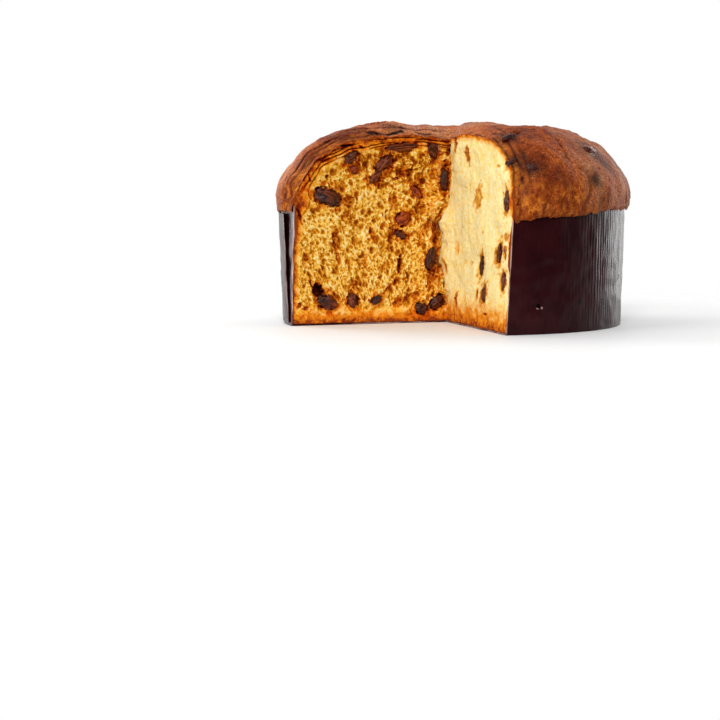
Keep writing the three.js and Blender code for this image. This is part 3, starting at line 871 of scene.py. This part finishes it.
def fruit_piece(name, seed):
    """A wrinkled lump in place of a solid's ellipsoid, pressed flush where the knife went through."""
    middle, axes, reach = FRUIT[name]
    work = bmesh.new()
    bmesh.ops.create_icosphere(work, subdivisions=5, radius=1)
    mesh = bpy.data.meshes.new(name)
    work.to_mesh(mesh)
    work.free()
    piece = new_object(name + "_fruit", mesh)
    ball = coordinates(mesh)
    x, y, z = ball.T
    turn = np.arctan2(y, z)
    uneven = RIGHT_FRUIT_UNEVEN if "right" in name else FRUIT_UNEVEN
    lumps = np.minimum(1 + uneven * noise(x * 2.2 + seed, y * 1.6, z * 1.6), 1.1)
    folds = 1 - np.abs(noise(x * 1.6 + seed, np.cos(turn) * 3.4, np.sin(turn) * 3.4))
    creases = 1 - np.abs(noise(x * 4 + seed, y * 5, z * 5 + 2))
    dents = 0.16 * ease(folds, 0.55, 1) + 0.06 * ease(creases, 0.6, 1)
    if name == "candied_peel":
        dents = dents * 0.3
    size = (lumps - dents)[:, None]
    points = middle + (ball * size * reach * 1.02) @ axes
    side = "left" if "left" in name else "right"
    if "crown" not in name:
        behind = depth_behind(side, *points.T)
        sunk = np.where(behind < FRUIT_FLUSH, (FRUIT_FLUSH - behind) * 0.6, 0)
        into = cut_face(side, points[:, 2])[1]
        points[:, 0] += into[0] * sunk
        points[:, 1] += into[1] * sunk
    set_points(piece, points)
    # Where the painted shade in the folds goes
    add_field(piece, "crease", dents / 0.2)
    add_field(piece, "amber", np.full(len(points), float(name in AMBER_FRUIT)))
    shade(piece, 180)
    return piece


# Paper case

def rim_azimuth(side, radius, height):
    """Azimuth at which the case's wall meets a cut face."""
    out, _ = cut_face(side, height)
    b = VERTEX[0] * out[0] + VERTEX[1] * out[1]
    c = VERTEX[0] ** 2 + VERTEX[1] ** 2 - radius**2
    reach = -b + np.sqrt(b * b - c)
    return np.arctan2(VERTEX[0] + out[0] * reach, -(VERTEX[1] + out[1] * reach))


def wall_radius(height):
    return CASE_BASE_RADIUS + (CASE_TOP_RADIUS - CASE_BASE_RADIUS) * height / CASE_HEIGHT


def rib_relief(azimuth, height):
    """Fine upright ribs, crumples, and a band of waves half way up."""
    beat = np.cos(azimuth * RIBS + 1.5 * noise(azimuth * 13, height / 24))
    strength = 0.62 + 0.5 * noise(azimuth * 21, height / 16, 3)
    strength = strength * (0.3 + 0.7 * ease(azimuth, math.radians(34), math.radians(56)))
    crumple = 0.3 * noise(azimuth * 14, height / 9, 7) + 0.14 * noise(azimuth * 40, height / 4, 5)
    waves = 0.12 * np.sin(height / 1.5 + 3 * noise(azimuth * 8, height / 12)) * bump(height - 34, 12)
    return RIB_DEPTH * strength * beat + 0.85 * crumple + waves


def capped_strip(name, sections):
    """A closed piece from cross-sections side by side, with both ends filled."""
    steps, count = sections.shape[:2]
    faces = list(grid_quads(steps, count, wrap_columns=True))
    faces.append(list(range(count)))
    faces.append([(steps - 1) * count + n for n in range(count)][::-1])
    return make_solid(name, sections.reshape(-1, 3), faces)


def case_piece():
    """The case's wall and floor, cut along with the cake."""
    share = np.linspace(0, 1, CASE_STEPS)[:, None]
    top = CASE_HEIGHT - RIM_SUNK * (1 - ease(share, 0, RIM_SUNK_SHARE))
    height = np.linspace(0, 1, CASE_ROWS) * top
    radius = wall_radius(height)
    start = rim_azimuth("right", radius, height)
    end = rim_azimuth("left", radius, height) + 2 * np.pi
    azimuth = start + (end - start) * share
    ribbed = radius + rib_relief(azimuth, height) * ease(height, 0, 4)
    outer = around_axis(ribbed, azimuth, height)
    inner = around_axis(ribbed - WALL_PLY, azimuth, np.maximum(height, PAPER))[:, ::-1]
    floor_share = np.linspace(0, 1, 8)[1:-1]
    middle = np.array([VERTEX[0], VERTEX[1], 0.0])
    hub_low = np.broadcast_to(middle, (CASE_STEPS, 1, 3))
    hub_high = np.broadcast_to(middle + (0, 0, PAPER), (CASE_STEPS, 1, 3))
    low = hub_low + (outer[:, :1] - hub_low) * floor_share[:, None]
    high = (hub_high + (inner[:, -1:] - hub_high) * floor_share[:, None])[:, ::-1]
    sections = np.concatenate([hub_low, low, outer, inner, high, hub_high], axis=1)
    piece = capped_strip("case_wall", sections)
    x, y, z = mesh_points(piece).T
    # The wall's cut edge, which the material lights with a painted highlight.
    add_field(piece, "edge", (distance_from_cut(x, y, z) < 0.05) * ease(z, 0, 1))
    return piece


def flap_piece():
    """The outer ply of the case's glued overlap, sprung open at the top."""
    height = np.linspace(FLAP_BOTTOM, FLAP_TOP + FLAP_TUCKED, FLAP_ROWS)
    share = np.linspace(0, 1, FLAP_STEPS)[:, None]
    lift_here = FLAP_BASE_LIFT + (FLAP_LIFT - FLAP_BASE_LIFT) * height / FLAP_TOP
    azimuth = np.radians(FLAP_AZIMUTH - FLAP_TURN * share) + 0 * height
    lift = lift_here * (1 - share**2) + FLAP_GAP
    ribbed = wall_radius(height) + lift + rib_relief(azimuth, height)
    outer = around_axis(ribbed + FLAP_PLY, azimuth, height)
    inner = around_axis(ribbed, azimuth, height)[:, ::-1]
    piece = capped_strip("case_overlap", np.concatenate([outer, inner], axis=1))
    x, y, _ = mesh_points(piece).T
    # The flap's free edge, given a fainter painted highlight.
    add_field(piece, "edge", 0.6 * (np.degrees(np.arctan2(x, -y)) > FLAP_AZIMUTH - 0.15))
    return piece


# Materials

class Nodes:
    """A short way to write the nodes of a material or of the world."""

    def __init__(self, owner, shader="Principled BSDF"):
        self.owner = owner
        owner.use_nodes = True
        self.tree = owner.node_tree
        self.shader = self.tree.nodes[shader]

    def put(self, value, socket):
        """Links an output, sets a tuple as a colour, and sets a list or a number as it is."""
        if isinstance(value, bpy.types.NodeSocket):
            self.tree.links.new(value, socket)
        else:
            socket.default_value = (*value, 1) if isinstance(value, tuple) else value

    def set(self, **values):
        """Fills the shader's own sockets, such as base_color or coat_ior."""
        for key, value in values.items():
            name = key.replace("_", " ").title().replace("Ior", "IOR")
            self.put(value, self.shader.inputs[name])

    def new(self, kind, sockets=None, output=0, **settings):
        """An output of a new node. sockets holds what goes in, by name or number."""
        node = self.tree.nodes.new("ShaderNode" + kind)
        for key, value in settings.items():
            setattr(node, key, value)
        for key, value in (sockets or {}).items():
            self.put(value, node.inputs[key])
        return node.outputs[output]

    def place(self):
        return self.new("TexCoord", output="Object")

    def away(self, spot):
        """Distance in metres from a spot in millimetres about the cake's axis."""
        spot = [(n + shift) * MM for n, shift in zip(spot, CAKE_AXIS)]
        return self.new("VectorMath", {0: self.place(), 1: spot}, "Value", operation="DISTANCE")

    def field(self, name):
        return self.new("Attribute", output="Fac", attribute_name=name)

    def noise(self, scale, detail=3.0, rough=0.55, distortion=0.0, squeeze=1.0):
        """Noise in the object's own space, squeezed along its height."""
        where = self.place()
        if squeeze != 1:
            where = self.new("VectorMath", {0: where, 1: [1, 1, squeeze]}, operation="MULTIPLY")
        look = {"Scale": scale, "Detail": detail, "Roughness": rough, "Distortion": distortion}
        return self.new("TexNoise", {"Vector": where, **look})

    def ramp(self, factor, stops):
        node = self.tree.nodes.new("ShaderNodeValToRGB")
        elements = node.color_ramp.elements
        while len(elements) < len(stops):
            elements.new(0.5)
        for element, (position, color) in zip(elements, stops):
            element.position = position
            element.color = (*color, 1)
        self.put(factor, node.inputs["Fac"])
        return node.outputs["Color"]

    def step(self, factor, low, high):
        """0 up to low, 1 from high on, and a slope between them."""
        return self.ramp(factor, [(low, (0, 0, 0)), (high, (1, 1, 1))])

    def mix(self, factor, first, second, blend="MIX"):
        sockets = {0: factor, 6: first, 7: second}
        return self.new("Mix", sockets, 2, data_type="RGBA", blend_type=blend)

    def math(self, operation, *values):
        return self.new("Math", dict(enumerate(values)), operation=operation)

    def times(self, level, factor, more=0.0):
        return self.math("MULTIPLY_ADD", level, factor, more)

    def ragged(self, level, spread, *grain):
        """A level with noise on it."""
        return self.math("ADD", level, self.times(self.noise(*grain), spread, -spread / 2))

    def spread(self, value, source, target=(0, 1), how="LINEAR"):
        """A value brought from one range into another."""
        return self.new("MapRange", dict(enumerate((value, *source, *target))), interpolation_type=how)

    def bump(self, height, strength, distance):
        sockets = {"Strength": strength, "Distance": distance, "Height": height}
        self.set(normal=self.new("Bump", sockets))


def cut_color(m):
    """Crumb on the cut faces, browner towards the crust and near fruit, with painted shade deep in the
    pores and in the hollows of the marks.
    """
    pore = m.field("pore")
    # Painted shade: the crumb goes from pale yellow to deep brown the deeper a place lies in a pore.
    crumb = m.ramp(m.ragged(pore, 0.9, 620, 4, 0.75), [
        (0.0, (0.92, 0.80, 0.44)),
        (0.2, (0.92, 0.67, 0.19)),
        (0.42, (0.82, 0.43, 0.035)),
        (0.68, (0.62, 0.21, 0.005)),
        (1.0, (0.34, 0.075, 0.002)),
    ])
    depth = m.ragged(m.times(pore, -0.12, m.field("skin")), 1.6, 240, 5, 0.75)
    inner = m.ramp(depth, [
        (0.0, (0.27, 0.044, 0.006)),
        (0.1, (0.54, 0.125, 0.006)),
        (0.3, (0.76, 0.23, 0.007)),
        (0.6, (0.85, 0.38, 0.014)),
        (1.0, (0.92, 0.56, 0.06)),
    ])
    cut = m.mix(m.step(depth, 0.35, 0.95), inner, crumb)
    # More painted shade, multiplied in at the bottom of the deepest pores.
    deep = m.ramp(pore, [(0.35, (1, 1, 1)), (1.0, (0.42, 0.20, 0.12))])
    cut = m.mix(1.0, cut, deep, "MULTIPLY")
    # Stains darken the crumb, together with painted shade in the hollows of the marks and in the torn zone.
    blotch = m.times(m.field("stain_and_shade"), m.times(m.noise(330, 4, 0.75), 3.0, -0.5))
    stain_and_shade = m.ramp(blotch, [
        (0.0, (1, 1, 1)),
        (0.22, (0.95, 0.68, 0.36)),
        (0.45, (0.74, 0.36, 0.10)),
        (0.7, (0.42, 0.13, 0.04)),
        (1.0, (0.08, 0.017, 0.01)),
    ])
    return m.mix(1.0, cut, stain_and_shade, "MULTIPLY")


def skin_color(m):
    """Crust: its mottle and grain, with painted light and sheen where the pale field is high, then the
    rolled rim, golden strands, charred spots, painted shade over the far right, and creases darkened by
    painted shade.
    """
    # The pale field lifts the mottle: painted light and sheen.
    mottle = m.math("ADD", m.noise(48, 6, 0.68), m.times(m.field("pale"), 0.16, -0.04))
    skin = m.ramp(mottle, [
        (0.32, (0.11, 0.018, 0.004)),
        (0.42, (0.22, 0.040, 0.006)),
        (0.52, (0.35, 0.082, 0.014)),
        (0.62, (0.46, 0.145, 0.040)),
        (0.8, (0.54, 0.23, 0.09)),
    ])
    fine = m.ramp(m.noise(820, 3, 0.8), [
        (0.36, (0.36, 0.22, 0.15)),
        (0.46, (0.88, 0.76, 0.66)),
        (0.54, (1.16, 1.1, 1.02)),
        (0.63, (1.75, 1.85, 1.85)),
    ])
    skin = m.mix(1.0, skin, fine, "MULTIPLY")
    # Greyish specks of painted sheen where the pale field is high.
    grain = m.times(m.step(m.noise(760, 4, 0.85), 0.5, 0.58), m.field("pale"))
    rim_tone = m.ramp(m.noise(260, 5, 0.8), [
        (0.38, (0.14, 0.020, 0.003)),
        (0.48, (0.46, 0.095, 0.007)),
        (0.58, (0.84, 0.32, 0.022)),
    ])
    threads = m.ramp(m.noise(300, 5, 0.78, 0.3, 0.7), [
        (0.38, (0.11, 0.018, 0.003)),
        (0.46, (0.26, 0.044, 0.005)),
        (0.54, (0.43, 0.095, 0.008)),
        (0.62, (0.66, 0.22, 0.022)),
    ])
    golden = m.times(m.field("gold"), m.step(m.noise(70, 4, 0.6), 0.34, 0.56))
    crease = m.ragged(m.field("crease"), 1.2, 420, 4, 0.75)
    layers = [
        (m.times(grain, 0.6), (0.54, 0.42, 0.34)),
        (m.field("rim"), rim_tone),
        # Painted shade in the creases beside the cut.
        (m.field("rim_crease_shade"), (0.06, 0.014, 0.006)),
        (golden, threads),
        (m.times(m.field("strand"), 0.75), (0.12, 0.022, 0.005)),
        # Burnt spots, and painted shade over the far right of the crown.
        (m.field("burnt_and_shade"), (0.020, 0.008, 0.007)),
        # Painted shade in the skin's creases and holes, darkening to black at their bottoms.
        (m.step(crease, 0.15, 0.6), (0.085, 0.012, 0.003)),
        (m.step(crease, 0.6, 1.0), (0.004, 0.001, 0.001)),
    ]
    for strength, color in layers:
        skin = m.mix(strength, skin, color)
    return skin


def cake_material():
    """Crumb and crust in one, told apart by whether the knife went through a place."""
    m = Nodes(bpy.data.materials.new("cake"))
    is_cut = m.field("cut")
    m.set(
        base_color=m.mix(is_cut, skin_color(m), cut_color(m)),
        roughness=m.times(is_cut, 0.25, 0.55),
        specular_ior_level=0.06,
        subsurface_weight=0.1,
        subsurface_radius=[1.0, 0.45, 0.12],
        subsurface_scale=0.0015,
    )
    m.bump(m.noise(800, 5, 0.7), 0.5, 0.0006)
    return m.owner


def raisin_material():
    m = Nodes(bpy.data.materials.new("raisin"))
    # The fruit darkens into its folds and creases: painted shade.
    level = m.ragged(m.field("crease"), 0.8, 240, 4)
    dark, red, amber = (m.ramp(level, list(zip((0, 0.4, 1), tones))) for tones in FRUIT_TONES)
    tone = m.mix(m.step(m.noise(30, 2), 0.45, 0.62), dark, red)
    m.set(
        base_color=m.mix(m.field("amber"), tone, amber),
        roughness=m.times(m.noise(500, 2), 0.3, 0.16),
        specular_ior_level=0.32,
    )
    m.bump(m.noise(620, 4, 0.7), 0.7, 0.0006)
    return m.owner


def peel_material():
    m = Nodes(bpy.data.materials.new("peel"))
    m.set(
        base_color=m.ramp(m.noise(300, 3), [(0.3, (0.62, 0.22, 0.012)), (0.7, (0.86, 0.47, 0.05))]),
        roughness=0.28,
        subsurface_weight=0.5,
        subsurface_radius=[1.0, 0.5, 0.1],
        subsurface_scale=0.002,
    )
    m.bump(m.noise(1200, 3), 0.2, 0.0002)
    return m.owner


def paper_material():
    m = Nodes(bpy.data.materials.new("case_paper"))
    tone = m.ramp(m.noise(55, 5, 0.6), [(0.3, (0.014, 0.0018, 0.0026)), (0.7, (0.031, 0.004, 0.0055))])
    for hole, reach, torn in PAPER_HOLES:
        for spot, size in torn:
            near = m.math("LESS_THAN", m.away(spot), size * MM)
            tone = m.mix(near, tone, (0.30, 0.17, 0.16))
        # Each hole is a near-black disc of painted shade, not an opening.
        inside = m.math("LESS_THAN", m.away(hole), reach * MM)
        tone = m.mix(inside, tone, (0.001, 0.0004, 0.0004))
    # Painted highlight along the paper's cut edges.
    cut_edge_highlight = m.ramp(m.noise(90, 3), [(0.38, (0.16, 0.05, 0.045)), (0.6, (0.66, 0.46, 0.39))])
    m.set(
        base_color=m.mix(m.field("edge"), tone, cut_edge_highlight),
        roughness=m.times(m.noise(120, 4), 0.2, 0.2),
        specular_ior_level=0.05,
        coat_weight=0.3,
        coat_roughness=0.16,
        coat_ior=1.25,
    )
    m.bump(m.noise(700, 5, 0.6), 0.3, 0.0003)
    return m.owner


def floor_material():
    """A pale floor that fades into the white of the room away from the cake."""
    m = Nodes(bpy.data.materials.new("floor"))
    color = m.ramp(m.noise(3, 2), [(0.0, (0.86, 0.86, 0.86)), (1.0, (0.9, 0.9, 0.9))])
    from_middle = m.new("VectorMath", {0: m.place()}, "Value", operation="LENGTH")
    fade = m.spread(from_middle, FLOOR_FADE, how="SMOOTHSTEP")
    m.set(base_color=color, roughness=0.6, alpha=m.math("SUBTRACT", 1.0, fade))
    return m.owner


# Fields that the materials read

def darkening_near_fruit(points):
    """How much darker the crumb is close round each piece of fruit."""
    stain_and_shade = np.zeros(len(points))
    ragged = 1 + 0.35 * noise(*(points / 2.4).T) + 0.2 * noise(*(points / 1.1).T)
    for middle, axes, reach in FRUIT.values():
        level = np.sqrt((((points - middle) @ axes.T / (reach + 1.2)) ** 2).sum(1))
        stain_and_shade = np.maximum(stain_and_shade, 1 - ease(level * ragged, 0.8, 1.5))
    return stain_and_shade * 0.5


def cut_fields(side, x, y, z):
    """Of a cut face: how deep each place lies in a pore, which sets its painted shade, whether it was cut,
    and how much stain and painted shade it has.
    """
    along, behind = face_place(side, x, y, z)
    marked, stain_and_shade = mark_fields(side, along, z)
    pore = np.clip((behind - face_base(side, along, z) - 0.85 * marked) / PORE_TONE[side], 0, 1.3)
    is_cut = 1 - ease(np.abs(behind - face_depth(side, along, z)), 0.3, 0.7)
    # Darker in the torn zone beside the line where the faces meet: partly real stain and partly painted
    # shade in its recesses.
    torn = bump(along - 6, 13) * ease(noise(along / 5, z / 8, 3), -0.3, 0.5)
    torn = torn * ease(noise(along / 2.2, z / 3, 13), -0.5, 0.4)
    stain_and_shade = np.maximum(stain_and_shade, 0.42 * torn * (1 if side == "left" else 0.3 * bump(along, 7)))
    return pore, is_cut, stain_and_shade


def burnt_field(points):
    """Dark spots of the crust, and dark skin round the raisins in it."""
    raisins = [frame for name, frame in FRUIT.items() if "crown" in name]
    spots = BURNT_SPOTS + [(middle, reach[0] + 2.5, 0.85) for middle, _, reach in raisins]
    ragged = 1 + 0.35 * noise(*(points / 3).T)
    burnt_and_shade = np.zeros(len(points))
    for middle, reach, strength in spots:
        away = np.linalg.norm(points - middle, axis=1)
        burnt_and_shade = np.maximum(burnt_and_shade, strength * bump(away * ragged, reach))
    return burnt_and_shade


def dress_cake(piece, side=None):
    """Adds every field of the cake's material. side is the piece's cut face, if it has one."""
    points = mesh_points(piece)
    x, y, z = points.T
    pore, is_cut, stain_and_shade = cut_fields(side, x, y, z) if side else np.zeros((3, len(points)))
    stretched = stretched_zone(x, y, z)
    rim = bump(distance_from_cut(x, y, z), 5.5) * (0.55 + 0.6 * noise(x / 5, y / 5, z / 5))
    rim = rim * (1 - 0.25 * ease(z, 88, 108))
    azimuth = np.degrees(np.arctan2(x, -y))
    # The far right of the crown, turned away from the key light, gets painted shade and a grainy painted
    # sheen.
    far_right = np.maximum(ease(azimuth, 36, 70), 0.8 * beyond_fold(x, y, CROWN_FOLDS[0]))
    far_right = far_right * (1 - ease(azimuth, 130, 160))
    # Painted light on the crown's left edge, which faces the key light.
    lit_left_edge = ease(-azimuth, 66, 82) * (1 - ease(-azimuth, 120, 150)) * (1 - 0.6 * ease(z, 90, 112))
    # A painted sheen on the top of the crown, left of its middle.
    middle = bump(x + 12, 22) * bump(y - 2, 14) * (z > 100)
    fields = {
        "skin": under_skin(x, y, z, CRUST_SHARE.get(side, 1)),
        # The depth in the pores, which sets their painted shade
        "pore": pore,
        "cut": is_cut,
        # Stains, painted shade in the marks and the torn zone, and darker crumb round fruit
        "stain_and_shade": np.maximum(stain_and_shade, darkening_near_fruit(points)),
        # Painted shade in the skin's creases and holes
        "crease": np.clip(crease_depth(x, y, z) / 2, 0, 1),
        "gold": stretched,
        "strand": strand_gaps(x, y, z) * stretched,
        "rim": np.clip(rim, 0, 1),
        # Where painted shade darkens the creases beside the cut
        "rim_crease_shade": rim_lines(x, y, z),
        # Real burnt spots and dark skin round the raisins, with painted shade mixed over the far right
        "burnt_and_shade": np.maximum(burnt_field(points), 0.17 * far_right),
        # Painted sheen and light: the far right, the left edge and the top of the crown
        "pale": np.clip(0.5 * far_right + lit_left_edge + middle, 0, 1),
    }
    for name, values in fields.items():
        add_field(piece, name, values)
    shade(piece)


# Room

def add_camera():
    camera = bpy.data.cameras.new("camera")
    camera.lens = LENS
    camera.sensor_width = SENSOR
    holder = new_object("camera", camera)
    holder.location = [(n + shift) * MM for n, shift in zip(CAMERA_PLACE, CAKE_AXIS)]
    holder.rotation_euler = (math.radians(90 - CAMERA_PITCH), 0, 0)
    bpy.context.scene.camera = holder


def add_light(name, place, aim, size, power):
    light = bpy.data.lights.new(name, "AREA")
    light.shape = "RECTANGLE"
    light.size, light.size_y = size
    light.energy = power
    holder = new_object(name, light)
    holder.location = place
    holder.rotation_euler = (Vector(aim) - Vector(place)).to_track_quat("-Z", "Y").to_euler()


def add_world():
    """White to the camera. Its light comes from behind the cake more than from the front."""
    world = bpy.data.worlds.new("room")
    bpy.context.scene.world = world
    w = Nodes(world, "Background")
    towards = w.new("SeparateXYZ", {0: w.new("TexCoord", output="Generated")}, "Y")
    behind = w.spread(towards, ROOM_TURN, ROOM_STRENGTH)
    seen = w.new("LightPath", output="Is Camera Ray")
    w.set(color=(1, 1, 1), strength=w.new("Mix", {0: seen, 2: behind, 3: 1.0}))


def add_floor():
    square = [(x * FLOOR_REACH, y * FLOOR_REACH, 0) for x, y in ((-1, -1), (1, -1), (1, 1), (-1, 1))]
    floor = make_mesh("floor", square, [(0, 1, 2, 3)])
    floor.data.materials.append(floor_material())


def add_room():
    add_world()
    for name, light in LIGHTS.items():
        add_light(name, *light)
    bpy.context.scene.view_settings.view_transform = "Standard"
    add_floor()


def add_piece(piece, material, slot, *nodes):
    piece.data.materials.clear()
    piece.data.materials.append(material)
    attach(piece, "root")
    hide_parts(*nodes)


def add_cake():
    material = cake_material()
    cake = whole_cake()
    for side in ("left", "right"):
        block = slab(side)
        piece = boolean(block, cake, "INTERSECT")
        piece.name = piece.data.name = "crumb_" + side
        dress_cake(piece, side)
        add_piece(piece, material, "crust", "cake_body")
    knife = slab_knife()
    boolean(cake, knife, "DIFFERENCE")
    drop(knife)
    cake.name = cake.data.name = "crown"
    dress_cake(cake)
    add_piece(cake, material, "crust", "cake_body")


def add_fruit():
    raisin, peel = raisin_material(), peel_material()
    for seed, name in enumerate(sorted(FRUIT)):
        is_peel = name == "candied_peel"
        piece = fruit_piece(name, seed * 3.7)
        add_piece(piece, peel if is_peel else raisin, "peel" if is_peel else "raisin", name)


def add_case():
    material = paper_material()
    for piece in (case_piece(), flap_piece()):
        shade(piece, 40)
        add_piece(piece, material, "paper", "paper_case")


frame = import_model()
FRUIT = fruit_frames(frame["nodes"])
add_camera()
add_room()
add_cake()
add_fruit()
add_case()
